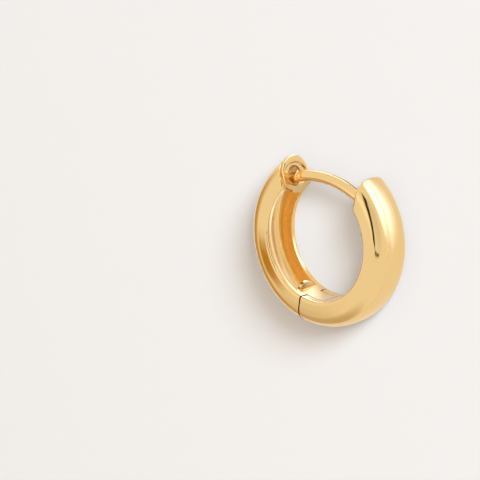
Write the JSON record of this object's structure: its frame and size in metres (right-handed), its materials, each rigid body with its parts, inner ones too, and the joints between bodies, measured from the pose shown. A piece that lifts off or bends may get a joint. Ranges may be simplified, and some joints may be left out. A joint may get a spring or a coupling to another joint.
{
  "type": "huggie hoop earring",
  "caption": "Small domed hoop earring in two hinged halves, closed by a bent post that passes through a round catch plate.",
  "frame": {"origin": "below the middle of the closed earring, on the surface that it lies on", "axes": "+Z along the hoop's axis, up as the earring lies on its side; +Y from the hinge towards the post; +X towards the front half"},
  "size_m": [0.014, 0.0132, 0.0034],
  "materials": {
    "polished_gold": "mirror polished gold plate",
    "pin_gold": "satin"
  },
  "bodies": {
    "back": {"back_half": "polished_gold", "hinge_pin": "pin_gold"},
    "front": {"front_half": "polished_gold"}
  },
  "joints": [
    {"name": "clasp_hinge", "type": "hinge", "parent": "back", "child": "front", "pos_m": [-0.00064, -0.00572, 0.00169], "axis": [0, 0, -1], "range_deg": [0, 60]}
  ]
}
